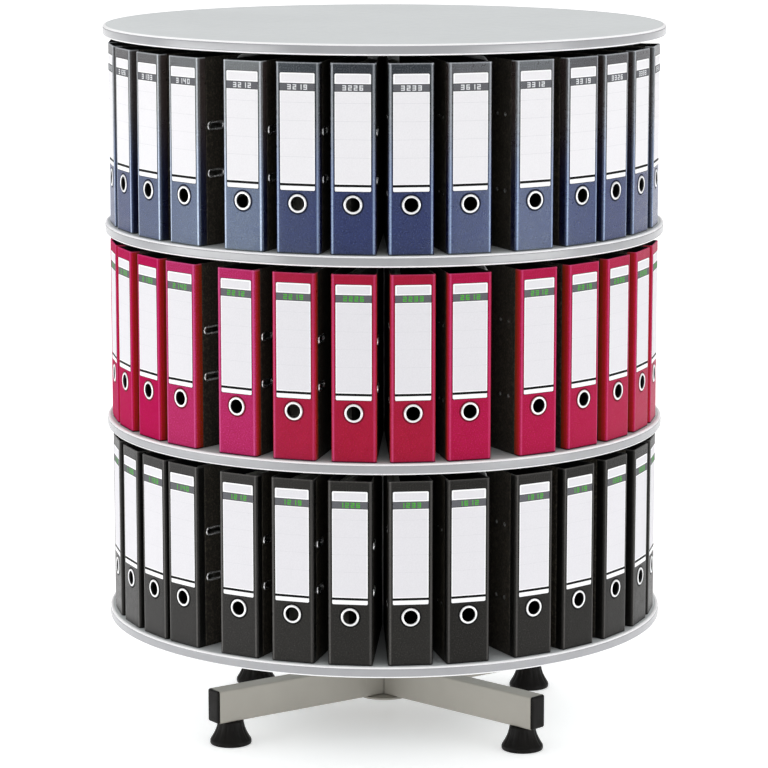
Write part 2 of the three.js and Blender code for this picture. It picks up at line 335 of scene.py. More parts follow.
# copies of the film in each tier, with tones and painted highlight lines set for how the light falls on the bays that
# use them, and in l and e painted sheen in the base colour: a and b, and l and e with a duller surface
FILMS = {
    "top": {
        "a": ("blue_a", lin(9, 18, 72), lin(16, 28, 92), lin(62, 76, 130), lin(180, 204, 240), lin(7, 9, 38), lin(18, 15, 40), (0.8, 0.94, 1.0), 0.7, 0.29, (0.7, 0.5, 0.6), lin(14, 10, 9)),
        "b": ("blue_b", lin(10, 20, 78), lin(18, 30, 98), lin(62, 76, 134), lin(180, 204, 240), lin(7, 9, 38), lin(18, 15, 40), (0.8, 0.94, 1.0), 0.9, 0.29, (0.7, 0.6, 0.6), lin(60, 50, 46)),
        "l": ("blue_l", lin(16, 31, 80), lin(28, 45, 102), lin(74, 92, 140), lin(206, 222, 246), lin(7, 9, 38), lin(18, 15, 40), (0.82, 0.97, 1.0), 1.0, 0.3, (1.0, 1.0, 0.6), lin(66, 55, 51)),
        "e": ("blue_e", lin(20, 35, 84), lin(30, 47, 104), lin(70, 88, 136), lin(196, 214, 242), lin(7, 9, 38), lin(18, 15, 40), (0.82, 0.97, 1.0), 0.4, 0.33, (0.9, 0.9, 0.6), lin(70, 64, 62)),
    },
    "middle": {
        "a": ("crimson_a", lin(148, 20, 34), lin(162, 26, 46), lin(182, 40, 68), lin(222, 92, 144), lin(178, 36, 36), lin(146, 48, 18), (0.8, 0.12, 0.62), 0.46, 0.3, (0.5, 0.3, 0.25)),
        "b": ("crimson_b", lin(160, 19, 58), lin(174, 27, 74), lin(190, 44, 94), lin(222, 92, 144), lin(178, 36, 36), lin(146, 48, 18), (0.8, 0.12, 0.62), 0.1, 0.42, (0.45, 0.35, 0.25)),
        "l": ("crimson_l", lin(168, 36, 88), lin(178, 44, 100), lin(196, 70, 128), lin(226, 110, 166), lin(182, 40, 36), lin(146, 48, 18), (0.8, 0.12, 0.62), 0.04, 0.46, (0.55, 0.45, 0.35)),
        "e": ("crimson_e", lin(166, 11, 68), lin(176, 15, 82), lin(190, 36, 102), lin(222, 92, 150), lin(182, 36, 34), lin(146, 48, 18), (0.8, 0.12, 0.62), 0.01, 0.5, (0.5, 0.4, 0.35)),
    },
    "bottom": {
        "a": ("black_a", lin(17, 16, 14), lin(24, 23, 21), lin(52, 51, 48), lin(110, 108, 106), lin(12, 12, 11), lin(6, 6, 6), (1.0, 0.98, 0.95), 0.27, 0.3, (0.5, 0.3, 0.3)),
        "b": ("black_b", lin(15, 14, 12), lin(22, 21, 19), lin(48, 47, 44), lin(110, 108, 106), lin(12, 12, 11), lin(6, 6, 6), (1.0, 0.98, 0.95), 0.18, 0.34, (0.4, 0.35, 0.3)),
        "l": ("black_l", lin(17, 16, 15), lin(25, 24, 23), lin(54, 53, 52), lin(120, 118, 116), lin(12, 12, 11), lin(6, 6, 6), (1.0, 0.98, 0.95), 0.24, 0.32, (0.55, 0.45, 0.3)),
    },
}
# the copy of the film for each bay, and the files that get another copy, picked for how the light falls on them
LIT_COPY = {"left": "l", "front": "a", "back_left": "a", "right": "b", "single": "b", "back": "b"}
LIT_COPY_OF_FILE = {(tier, "left", k): "e" for tier, last in (("top", 2), ("middle", 3)) for k in range(last + 1)}
LIT_COPY_OF_FILE.update({(tier, "front", 0): "l" for tier in FILMS})
for tier, rows in FILMS.items():
    for lit_copy, row in rows.items():
        M[f"film_{tier}_{lit_copy}"] = film("film_" + row[0], *row[1:])


# ---------------------------------------------------------------- mesh building
class Build:
    """Vertices in millimetres, faces, and a finish for each face."""

    def __init__(self):
        self.v, self.f, self.m = [], [], []

    def vert(self, x, y, z):
        self.v.append((x, y, z))
        return len(self.v) - 1

    def face(self, ids, finish):
        ids = list(ids)
        out = [i for k, i in enumerate(ids) if i != ids[k - 1]]
        if len(out) > 2:
            self.f.append(tuple(out))
            self.m.append(finish)

    def take(self, other, matrix=None):
        o = len(self.v)
        if matrix is None:
            self.v += other.v
        else:
            self.v += [tuple(matrix @ Vector(p)) for p in other.v]
        self.f += [tuple(i + o for i in f) for f in other.f]
        self.m += other.m

    def rings(self, loops, finishes, closed=False):
        """Bands of quads between loops of vertex ids. An entry with one id is a point."""
        n = max(len(a) for a in loops)
        full = [a if len(a) == n else a * n for a in loops]
        pairs = list(zip(full, full[1:]))
        if closed:
            pairs.append((full[-1], full[0]))
        for s, (a, b) in enumerate(pairs):
            fin = finishes[s] if isinstance(finishes, list) else finishes
            for k in range(n):
                j = (k + 1) % n
                self.face((a[k], a[j], b[j], b[k]), fin)

    def turned(self, profile, n, finish, closed=False, x=0.0, y=0.0, phase=0.0, radius=None):
        """Lathe about Z. profile: (radius, height). radius(r, z, angle) may vary it round the axis."""
        loops = []
        for r, z in profile:
            if r < 1e-6:
                loops.append([self.vert(x, y, z)])
            else:
                ids = []
                for k in range(n):
                    a = 2 * math.pi * k / n + phase
                    q = radius(r, z, a) if radius else r
                    ids.append(self.vert(x + q * math.cos(a), y + q * math.sin(a), z))
                loops.append(ids)
        self.rings(loops, finish, closed)

    def box(self, x0, x1, y0, y1, z0, z1, finish):
        ids = [self.vert(x, y, z) for z in (z0, z1) for x, y in ((x0, y0), (x1, y0), (x1, y1), (x0, y1))]
        for q in ((0, 3, 2, 1), (4, 5, 6, 7), (0, 1, 5, 4), (1, 2, 6, 5), (2, 3, 7, 6), (3, 0, 4, 7)):
            self.face([ids[i] for i in q], finish)

    def sweep(self, path, radius, n, finish, closed=False):
        """A round bar along points. radius may be a list."""
        pts = [Vector(p) for p in path]
        count = len(pts)
        loops, up = [], None
        for i, p in enumerate(pts):
            a = pts[i - 1] if (i or closed) else p
            b = pts[(i + 1) % count] if (i + 1 < count or closed) else p
            t = (b - a).normalized()
            if up is None:
                up = Vector((0, 0, 1)) if abs(t.z) < 0.9 else Vector((1, 0, 0))
            side = t.cross(up).normalized()
            up = side.cross(t).normalized()
            r = radius[i] if isinstance(radius, list) else radius
            loops.append([
                self.vert(*(p + r * (math.cos(2 * math.pi * k / n) * side + math.sin(2 * math.pi * k / n) * up)))
                for k in range(n)
            ])
        self.rings(loops, finish, closed)
        if not closed:
            self.face(loops[0], finish)
            self.face(loops[-1], finish)

    def object(self, name, sharp=32.0):
        names = []
        for f in self.m:
            if f not in names:
                names.append(f)
        me = bpy.data.meshes.new(name)
        me.from_pydata([(x * MM, y * MM, z * MM) for x, y, z in self.v], [], self.f)
        for f in names:
            me.materials.append(M[f])
        me.polygons.foreach_set("material_index", [names.index(f) for f in self.m])
        bm = bmesh.new()
        bm.from_mesh(me)
        bmesh.ops.recalc_face_normals(bm, faces=bm.faces)
        bm.to_mesh(me)
        bm.free()
        me.shade_smooth()
        me.set_sharp_from_angle(angle=math.radians(sharp))
        me.update()
        ob = bpy.data.objects.new(name, me)
        bpy.context.scene.collection.objects.link(ob)
        return ob


def put(build, name, body, slot, *nodes, sharp=32.0, matrix=None):
    ob = build.object(name, sharp)
    if matrix is not None:
        ob.matrix_world = matrix
    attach(ob, body)
    if nodes:
        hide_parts(*nodes)
    return ob


def facing(origin, out, up=(0, 0, 1)):
    """Matrix whose local Z points out of a surface and whose local Y points up along it."""
    z = Vector(out).normalized()
    x = Vector(up).cross(z).normalized()
    y = z.cross(x)
    m = Matrix((x, y, z)).transposed().to_4x4()
    m.translation = Vector(origin)
    return m


def heading(degrees):
    """Unit vectors along an arm at this angle from the front towards +X, and to its right."""
    a = math.radians(degrees)
    return Vector((math.sin(a), -math.cos(a), 0)), Vector((math.cos(a), math.sin(a), 0))


def rounded_rect(w, h, r, n=5):
    out = []
    for cx, cy, start in ((w / 2 - r, h / 2 - r, 0), (-w / 2 + r, h / 2 - r, 90), (-w / 2 + r, -h / 2 + r, 180), (w / 2 - r, -h / 2 + r, 270)):
        for k in range(n + 1):
            a = math.radians(start + 90 * k / n)
            out.append((cx + r * math.cos(a), cy + r * math.sin(a)))
    return out


def arc(cx, cy, r, a0, a1, n):
    return [
        (cx + r * math.cos(math.radians(a0 + (a1 - a0) * k / n)), cy + r * math.sin(math.radians(a0 + (a1 - a0) * k / n)))
        for k in range(n + 1)
    ]


def pan_screw(r=4.2, h=2.6):
    """A pan-head screw with a cross recess, head towards +Z."""
    b = Build()
    n = 24
    b.turned([(0, 0), (r, 0), (r, 0.5), (r * 0.94, h * 0.55), (r * 0.75, h * 0.85), (r * 0.5, h)], n, "steel")
    top = list(range(len(b.v) - n, len(b.v)))
    arm, wide, deep = r * 0.42, r * 0.13, h * 0.45
    cross = [
        (arm, -wide), (arm, wide), (wide, wide), (wide, arm), (-wide, arm), (-wide, wide),
        (-arm, wide), (-arm, -wide), (-wide, -wide), (-wide, -arm), (wide, -arm), (wide, -wide),
    ]
    rim = [b.vert(x, y, h) for x, y in cross]
    low = [b.vert(x * 0.8, y * 0.8, h - deep) for x, y in cross]
    # bridge the round top to the cross by angle
    order = sorted(range(12), key=lambda i: math.atan2(cross[i][1], cross[i][0]) % (2 * math.pi))
    near = []
    for k in range(n):
        a = 2 * math.pi * k / n
        near.append(min(order, key=lambda i: abs((math.atan2(cross[i][1], cross[i][0]) - a + math.pi) % (2 * math.pi) - math.pi)))
    for k in range(n):
        j = (k + 1) % n
        chain, i = [near[k]], near[k]
        pos = order.index(i)
        while i != near[j]:
            pos = (pos + 1) % 12
            i = order[pos]
            chain.append(i)
        b.face([top[k], top[j]] + [rim[i] for i in reversed(chain)], "steel")
    for i in range(12):
        j = (i + 1) % 12
        b.face((rim[i], rim[j], low[j], low[i]), "steel")
    b.face(low, "steel")
    return b


def hex_bolt(r=6.5, h=5.3, washer=9.0):
    """A washer and a hexagon head on it, towards +Z."""
    b = Build()
    b.turned([(0, 0), (washer, 0), (washer + 0.2, 0.3), (washer, 1.5), (0, 1.5)], 28, "steel")
    prof = [(0, 1.55), (r * 1.08, 1.55), (r * 1.1548, 1.9), (r * 1.1548, h + 1.1), (r * 0.98, h + 1.5), (0, h + 1.5)]
    b.turned(prof, 6, "steel")
    return b


# ---------------------------------------------------------------- boards and their edge bands
def edge_band(z):
    """Edge profile: a grey rounded face between two narrow lips painted near white as highlights, with a fine groove
    at each lip.
    """
    b = Build()
    lower, upper = (PLATE_R - 5.2, z + 5.2, 5.2), (PLATE_R - 4.6, z + BOARD - 4.6, 4.6)
    low = [(PLATE_R - BAND, z + 0.1)] + arc(*lower, -90, -32, 6)
    face = arc(lower[0], lower[1], 4.85, -30, -24, 1) + arc(*lower, -22, 0, 4) + [(PLATE_R + 0.0, z + 9.5)]
    face += arc(*upper, 0, 17, 3) + arc(upper[0], upper[1], 4.3, 19, 24, 1)
    high = arc(*upper, 26, 90, 7) + [(PLATE_R - BAND, z + BOARD - 0.1)]
    prof = low + face + high
    fins = ["lip"] * len(low) + ["band"] * (len(face) - 1) + ["lip"] * (len(high) + 1)
    b.turned(prof, 192, fins, closed=True)
    return b


def disc(z0, z1, inner=0.0):
    b = Build()
    r, c = BOARD_R, 0.5
    low = [(inner, z0), (150, z0), (330, z0), (r - c, z0)] if inner else [(0, z0), (150, z0), (330, z0), (r - c, z0)]
    up = [(r, z0 + c), (r, z1 - c), (r - c, z1), (330, z1), (150, z1), (inner, z1)]
    b.turned(low + up, 192, "board", closed=bool(inner))
    return b


put(disc(HEIGHT - BOARD, HEIGHT), "top_board", "frame", "board", "top_plate")
put(edge_band(HEIGHT - BOARD), "top_board_edge", "frame", "edge_band", "top_edge_band")

# ---------------------------------------------------------------- column, socket, bracket
b = Build()
z0, z1 = 111.6, 1244.4
b.turned([(COLUMN_R - 3, z0), (COLUMN_R, z0), (COLUMN_R, 400), (COLUMN_R, 800), (COLUMN_R, z1 - 1), (COLUMN_R - 1, z1), (COLUMN_R - 3, z1)], 64, "pale", closed=True)
put(b, "column", "frame", "pale_paint", "column_tube")

b = Build()
b.turned(
    [(0, 103.3), (79, 103.3), (80, 104.3), (80, 110.3), (79, 111.3), (54, 111.3)] + arc(54, 119.3, 8, 270, 180, 5)[1:]
    + [(46, 166), (45, 168), (39.3, 168), (38.4, 167), (38.4, 111.3), (0, 111.3)],
    64, "base",
)
put(b, "column_flange_socket", "frame", "base_paint", "column_socket")
b = Build()
for k in range(4):
    a = math.radians(-4 + 90 * k)
    b.take(hex_bolt(), Matrix.Translation((66 * math.cos(a), 66 * math.sin(a), 111.4)))
put(b, "socket_bolts", "frame", "bare_steel")

b = Build()
b.turned(
    [(0, 1199.7), (33, 1199.7), (34.5, 1201.2), (34.5, 1244.7), (119, 1244.7), (120, 1245.7), (120, 1249.7), (119, 1250.7), (0, 1250.7)], 64, "pale",
)
put(b, "top_plate_bracket", "frame", "pale_paint", "top_bracket")
b = Build()
for k in range(6):
    a = math.radians(15 + 60 * k)
    b.take(pan_screw(), facing((98 * math.cos(a), 98 * math.sin(a), 1244.6), (0, 0, -1), (0, 1, 0)))
put(b, "bracket_screws", "frame", "bare_steel")

b = Build()
b.turned([(0, 38.8), (48.8, 38.8), (50, 39.8), (50, 41.9), (49.2, 42.7), (0, 42.7)], 72, "base")
put(b, "crossing_disc", "frame", "base_paint", "base_hub_disc")

# ---------------------------------------------------------------- base beams
OUT = rounded_rect(BEAM_W, BEAM_H, 4.0)
INN = rounded_rect(BEAM_W - 4, BEAM_H - 4, 2.2)
ZC = BEAM_Z + BEAM_H / 2
long_along, long_side = heading(LONG_ANGLE)


def beam(degrees, start, stops):
    """Rectangular tube along an arm, from start(u) to the arm's end, with extra sections at stops."""
    d, l = heading(degrees)
    b = Build()

    def section(prof, s_of):
        return [b.vert(*(d * s_of(u) + l * u + Vector((0, 0, ZC + v)))) for u, v in prof]

    outer = [section(OUT, start)] + [section(OUT, lambda u, s=s: s) for s in stops]
    inner = [section(INN, start)] + [section(INN, lambda u, s=s: s) for s in stops]
    b.rings(outer, "base")
    b.rings(inner, "base")
    b.rings([outer[0], inner[0]], "base")
    b.rings([outer[-1], inner[-1]], "base")
    return b


put(beam(LONG_ANGLE, lambda u: -BEAM_END, [-120, 120, BEAM_END]), "base_beam_through", "frame", "base_paint", "base_beam_long")
for name, degrees, node in (
    ("base_beam_half_front", CROSS_ANGLE, "base_beam_front_right"),
    ("base_beam_half_back", CROSS_ANGLE + 180, "base_beam_back_left"),
):
    d, l = heading(degrees)
    sign = 1 if d.dot(long_side) > 0 else -1

    def start(u, d=d, l=l, sign=sign):
        return (sign * (BEAM_W / 2 + GAP + 1.7) - u * l.dot(long_side)) / d.dot(long_side)

    put(beam(degrees, start, [150, BEAM_END]), name, "frame", "base_paint", node)
    # weld beads across the top and the foot of the butt joint, with the seam left open between them
    rnd = random.Random(7 + sign)
    grown = rounded_rect(BEAM_W + 1.6, BEAM_H - 1.0, 4.0, 6)
    loop = []
    for i, p in enumerate(grown):
        q = grown[(i + 1) % len(grown)]
        steps = max(1, int(math.dist(p, q) / 2.2))
        loop += [(p[0] + (q[0] - p[0]) * k / steps, p[1] + (q[1] - p[1]) * k / steps) for k in range(steps)]
    b = Build()
    for keep in (lambda v: v > BEAM_H / 2 - 6, lambda v: v < 5 - BEAM_H / 2):
        first = next(i for i in range(len(loop)) if keep(loop[i][1]) and not keep(loop[i - 1][1]))
        run = []
        while keep(loop[(first + len(run)) % len(loop)][1]):
            run.append(loop[(first + len(run)) % len(loop)])
        path = [d * (start(u) + 0.4) + l * u + Vector((0, 0, ZC + v)) for u, v in run]
        rad = [1.3 + 0.25 * math.sin(i * 1.9) + rnd.uniform(-0.1, 0.1) for i in range(len(run))]
        rad[0] = rad[-1] = 0.7
        b.sweep(path, rad, 8, "base")
    put(b, "weld_" + ("front" if sign > 0 else "back"), "frame", "base_paint")

# ---------------------------------------------------------------- end caps, feet, studs
for corner, degrees in CORNERS.items():
    d, l = heading(degrees)
    b = Build()
    # plate with a rolled edge and a slightly domed face, and the plug behind it
    face_loops = []
    for inset, s in ((0.0, 0.3), (0.0, 1.6), (0.35, 2.7), (1.2, 3.6), (2.6, 4.15), (6.0, 4.3)):
        prof = rounded_rect(BEAM_W - 0.7 - 2 * inset, BEAM_H - 0.7 - 2 * inset, max(3.6 - inset * 0.6, 0.8), 6)
        face_loops.append([b.vert(*(d * (BEAM_END + s) + l * u + Vector((0, 0, ZC + v)))) for u, v in prof])
    plug_loops = []
    for w, s in ((0.0, 0.3), (0.0, -9.0), (1.4, -13.5)):
        prof = rounded_rect(30.2 - w, 55.2 - w, 2.0, 6)
        plug_loops.append([b.vert(*(d * (BEAM_END + s) + l * u + Vector((0, 0, ZC + v)))) for u, v in prof])
    b.rings(face_loops, "black")
    b.face(face_loops[-1], "black")
    b.rings([face_loops[0]] + plug_loops, "black")
    b.face(plug_loops[-1], "black")
    put(b, "beam_cap_" + corner, "frame", "black_plastic", "end_cap_" + corner)

    p = d * FOOT_AT
    body = "foot_" + corner
    b = Build()

    def flute(r, z, a):
        """Shallow upright flutes on the cone, fading out towards the rim and the neck."""
        if r < 20 or z < 8 or z > 40:
            return r
        k = min((z - 8) / 6.0, (40 - z) / 6.0, 1.0)
        return r - 1.15 * k * (0.5 + 0.5 * math.cos(14 * a)) ** 3

    prof = [(0, 0.6), (26, 0.6), (28, 0), (34.6, 0), (36.2, 0.7), (37, 2.2), (37, 6.2), (36.6, 8.0), (35.2, 10.4), (32.6, 14.6), (30.2, 19.0),
            (28.0, 23.5), (26.2, 28.0), (24.8, 33.0), (23.7, 38.0), (23.2, 41.0), (22.6, 42.2), (21.6, 42.7), (5.4, 42.7), (5.4, 14), (0, 14)]
    b.turned(prof, 112, "black", x=p.x, y=p.y, radius=flute)
    put(b, "levelling_foot_" + corner, body, "black_plastic", "foot_" + corner, sharp=40)

    b = Build()
    prof, z = [(0, 14.3), (4.3, 14.3)], 15.0
    while z < 78.5:
        prof += [(4.3, z), (5.0, z + 0.55), (5.0, z + 0.75), (4.3, z + 1.3)]
        z += 1.5
    prof += [(4.2, 79.6), (3.8, 80), (0, 80)]
    b.turned(prof, 20, "steel", x=p.x, y=p.y)
    put(b, "threaded_stud_" + corner, body, "bare_steel", "foot_stud_" + corner, sharp=25)

# ---------------------------------------------------------------- tiers: shelf, hub, bearing, dividers
for tier, z in TIERS.items():
    body, under = "tier_" + tier, z - BOARD
    put(disc(under, z, 52.3), "board_" + tier, body, "board", "shelf_" + tier)
    put(edge_band(under), "board_edge_" + tier, body, "edge_band", "shelf_edge_band_" + tier)

    hub = under - 6.3
    b = Build()
    b.turned(
        [(38.6, hub), (94, hub), (95, hub + 1), (95, hub + 5), (94, hub + 6), (52, hub + 6), (52, z + 9), (51, z + 10), (38.6, z + 10)],
        64, "steel", closed=True,
    )
    put(b, "turning_hub_" + tier, body, "bare_steel", "hub_" + tier)
    b = Build()
    for k in range(6):
        a = math.radians(24 + 30 + 60 * k)
        b.take(pan_screw(), facing((78 * math.cos(a), 78 * math.sin(a), hub - 0.05), (0, 0, -1), (0, 1, 0)))
    put(b, "hub_screws_" + tier, body, "bare_steel")
    b = Build()
    t = hub - 4.3
    b.turned([(39, t + 0.4), (39.6, t), (57.4, t), (58, t + 0.6), (58, t + 3.4), (57.4, t + 4), (39.6, t + 4), (39, t + 3.6)], 64, "nylon", closed=True)
    put(b, "bearing_ring_" + tier, body, "nylon", "thrust_ring_" + tier)
    b = Build()
    c = t - 18.3
    b.turned([(38.3, c), (56.8, c), (58, c + 1.2), (58, c + 16.8), (56.8, c + 18), (38.3, c + 18)], 64, "steel", closed=True)
    put(b, "column_collar_" + tier, "frame", "bare_steel", "bearing_collar_" + tier)
    b = Build()
    for a in (-90, 30, 150):
        out = (math.cos(math.radians(a)), math.sin(math.radians(a)), 0)
        s = Build()
        s.turned([(0, 0.0), (4, 0.0), (4, 1.2), (3.4, 1.7)], 24, "steel")
        rim = list(range(len(s.v) - 24, len(s.v)))
        hexa = [s.vert(2.1 * math.cos(math.radians(60 * k)), 2.1 * math.sin(math.radians(60 * k)), 1.7) for k in range(6)]
        deep = [s.vert(2.1 * math.cos(math.radians(60 * k)), 2.1 * math.sin(math.radians(60 * k)), 0.5) for k in range(6)]
        for k in range(24):
            i, j = ((k + 2) // 4) % 6, ((k + 3) // 4) % 6
            s.face((rim[k], rim[(k + 1) % 24], hexa[j], hexa[i]), "steel")
        s.rings([hexa, deep], "steel")
        s.face(deep, "steel")
        b.take(s, facing(Vector(out) * 57.9 + Vector((0, 0, c + 9)), out))
    put(b, "collar_set_screws_" + tier, "frame", "bare_steel")

    # divider sheets on their sleeve
    foot = z + GAP
    b = Build()
    b.turned([(53, foot), (56, foot), (56, foot + 284), (55.4, foot + 285), (53.6, foot + 285), (53, foot + 284)], 64, "pale", closed=True)
    outline = [(55.2, 0.0)] + arc(422, 8, 8, -90, 0, 4) + arc(405, 295, 25, 0, 90, 8) + [(134, 320)] + arc(134, 314, 6, 90, 180, 4) + \
        [(128, 291)] + arc(122, 291, 6, 0, -90, 4) + [(55.2, 285)]
    for degrees in FINS:
        d, l = heading(degrees)
        sides = [[b.vert(*(d * r + l * w + Vector((0, 0, foot + h)))) for r, h in outline] for w in (-1.0, 1.0)]
        b.face(list(reversed(sides[0])), "pale")
        b.face(sides[1], "pale")
        b.rings(sides, "pale")
        # folded safety edge along the free rim
        hem = [(428.8, h) for h in (12, 120, 220, 292)] + arc(404, 294, 24.8, 0, 90, 8)[1:] + [(300, 318.8), (138, 318.8)]
        b.sweep([d * r + Vector((0, 0, foot + h)) for r, h in hem], 1.9, 8, "pale")
        # spot-welded flange on the sleeve
        for h in (30, 110, 190, 265):
            for w in (-1, 1):
                s = Build()
                s.turned([(0, 0), (4.4, 0), (4.0, 0.45), (2.6, 0.75), (0, 0.85)], 16, "pale")
                b.take(s, facing(d * 72 + l * w + Vector((0, 0, foot + h)), l * w))
    put(b, "dividers_" + tier, body, "pale_paint", "divider_star_" + tier)


# ---------------------------------------------------------------- files
def half_width(y):
    return 38.2 - 23.2 * (y - 4.8) / 280.2


WRAP = 17.0
right_path = [(20.0, 0.0), (33.4, 0.0)]
right_path += [(33.4 + 4.8 * math.sin(math.radians(a)), 4.8 - 4.8 * math.cos(math.radians(a))) for a in (12, 24, 36, 48, 60, 75, 90)]
right_path += [(half_width(WRAP), WRAP), (half_width(17.5) - 0.5, 17.5), (half_width(18.7) - 0.5, 18.7), (half_width(19.2), 19.2)]
right_path += [(half_width(y), y) for y in (19.6, 62.4, 150.0, 283.8)] + [(half_width(285) - 0.6, 285.0)]
PATH = [(-x, y) for x, y in reversed(right_path)] + right_path
ROWS = [0.7, 64.0, 104.0, 112.0, 132.0, 192.0, 212.0, FILE_H - 0.7]
BOARD_T = 2.4


def inward(path, dist):
    out = []
    for i, p in enumerate(path):
        ns = []
        for a, c in ((i - 1, i), (i, i + 1)):
            if a < 0 or c >= len(path):
                continue
            dx, dy = path[c][0] - path[a][0], path[c][1] - path[a][1]
            k = math.hypot(dx, dy)
            ns.append((-dy / k, dx / k))
        nx, ny = sum(n[0] for n in ns), sum(n[1] for n in ns)
        k = math.hypot(nx, ny)
        nx, ny = nx / k, ny / k
        s = dist / max(nx * ns[0][0] + ny * ns[0][1], 0.5)
        out.append((p[0] + nx * s, p[1] + ny * s))
    return out


def stadium(length, r, n=8):
    """Oblong outline, counter-clockwise, length end to end."""
    h = length / 2 - r
    return [(h + r * math.cos(math.radians(a)), r * math.sin(math.radians(a))) for a in [-90 + 180 * k / n for k in range(n + 1)]] + \
        [(-h + r * math.cos(math.radians(a)), r * math.sin(math.radians(a))) for a in [90 + 180 * k / n for k in range(n + 1)]]


def circle(r, n=36):
    return [(r * math.cos(2 * math.pi * k / n), r * math.sin(2 * math.pi * k / n)) for k in range(n)]


SLOT_L, SLOT_R, SLOT_Y, SLOT_Z = 35.0, 5.0, 41.0, (122.0, 202.0)
FINGER_R, FINGER_Z = 12.7, 84.0


def file_shell():
    """Covers and spine: one folded board with a finger hole in the spine and two lock slots in the front cover."""
    b = Build()
    n = len(PATH)
    inner = inward(PATH, BOARD_T)
    out_in, inn_in = inward(PATH, 0.6), inward(PATH, BOARD_T - 0.6)
    O = [[b.vert(x, y, z) for z in ROWS] for x, y in PATH]
    I = [[b.vert(x, y, z) for z in ROWS] for x, y in inner]
    caps = []
    for z in (0.0, FILE_H):
        caps.append(([b.vert(x, y, z) for x, y in out_in], [b.vert(x, y, z) for x, y in inn_in]))

    def skin(i):
        return "film" if max(PATH[i][1], PATH[i + 1][1]) <= WRAP + 0.01 else "cover"

    holes = {}
    mid = n // 2 - 1
    holes[(mid, 1)] = (circle(FINGER_R), FINGER_Z)
    slot_i = next(i for i in range(n // 2, n - 1) if abs(PATH[i][1] - 19.6) < 0.01)
    holes[(slot_i, 3)] = (stadium(SLOT_L, SLOT_R), SLOT_Z[0])
    holes[(slot_i, 5)] = (stadium(SLOT_L, SLOT_R), SLOT_Z[1])
    for i in range(n - 1):
        for j in range(len(ROWS) - 1):
            if (i, j) not in holes:
                b.face((O[i][j], O[i + 1][j], O[i + 1][j + 1], O[i][j + 1]), skin(i))
                b.face((I[i][j], I[i][j + 1], I[i + 1][j + 1], I[i + 1][j]), "lining")
                continue
            shape, zc = holes[(i, j)]
            loops = []
            for grid, pts in ((O, PATH), (I, inner)):
                (x0, y0), (x1, y1) = pts[i], pts[i + 1]
                k = math.hypot(x1 - x0, y1 - y0)
                tx, ty = (x1 - x0) / k, (y1 - y0) / k
                cx, cy = (x0 + x1) / 2, (y0 + y1) / 2
                loop = [b.vert(cx + tx * u, cy + ty * u, zc + w) for u, w in shape]
                loops.append(loop)
                corners = [grid[i][j], grid[i + 1][j], grid[i + 1][j + 1], grid[i][j + 1]]
                flat = [(-k / 2, ROWS[j] - zc), (k / 2, ROWS[j] - zc), (k / 2, ROWS[j + 1] - zc), (-k / 2, ROWS[j + 1] - zc)]
                near = [min(range(len(shape)), key=lambda q: math.dist(shape[q], c)) for c in flat]
                fin = skin(i) if grid is O else "lining"
                for q in range(4):
                    a, e = near[q], near[(q + 1) % 4]
                    chain, s = [a], a
                    while s != e:
                        s = (s + 1) % len(shape)
                        chain.append(s)
                    b.face([corners[q], corners[(q + 1) % 4]] + [loop[s] for s in reversed(chain)], fin)
            b.rings(loops, "lining")
    for (co, ci), j in zip(caps, (0, len(ROWS) - 1)):
        for i in range(n - 1):
            b.face((co[i], co[i + 1], O[i + 1][j], O[i][j]), skin(i))
            b.face((ci[i], ci[i + 1], I[i + 1][j], I[i][j]), "lining")
            b.face((co[i], co[i + 1], ci[i + 1], ci[i]), skin(i))
    for i in (0, n - 1):
        for j in range(len(ROWS) - 1):
            b.face((O[i][j], O[i][j + 1], I[i][j + 1], I[i][j]), "cover")
        for (co, ci), j in zip(caps, (0, len(ROWS) - 1)):
            b.face((co[i], O[i][j], I[i][j], ci[i]), "cover")
    return b


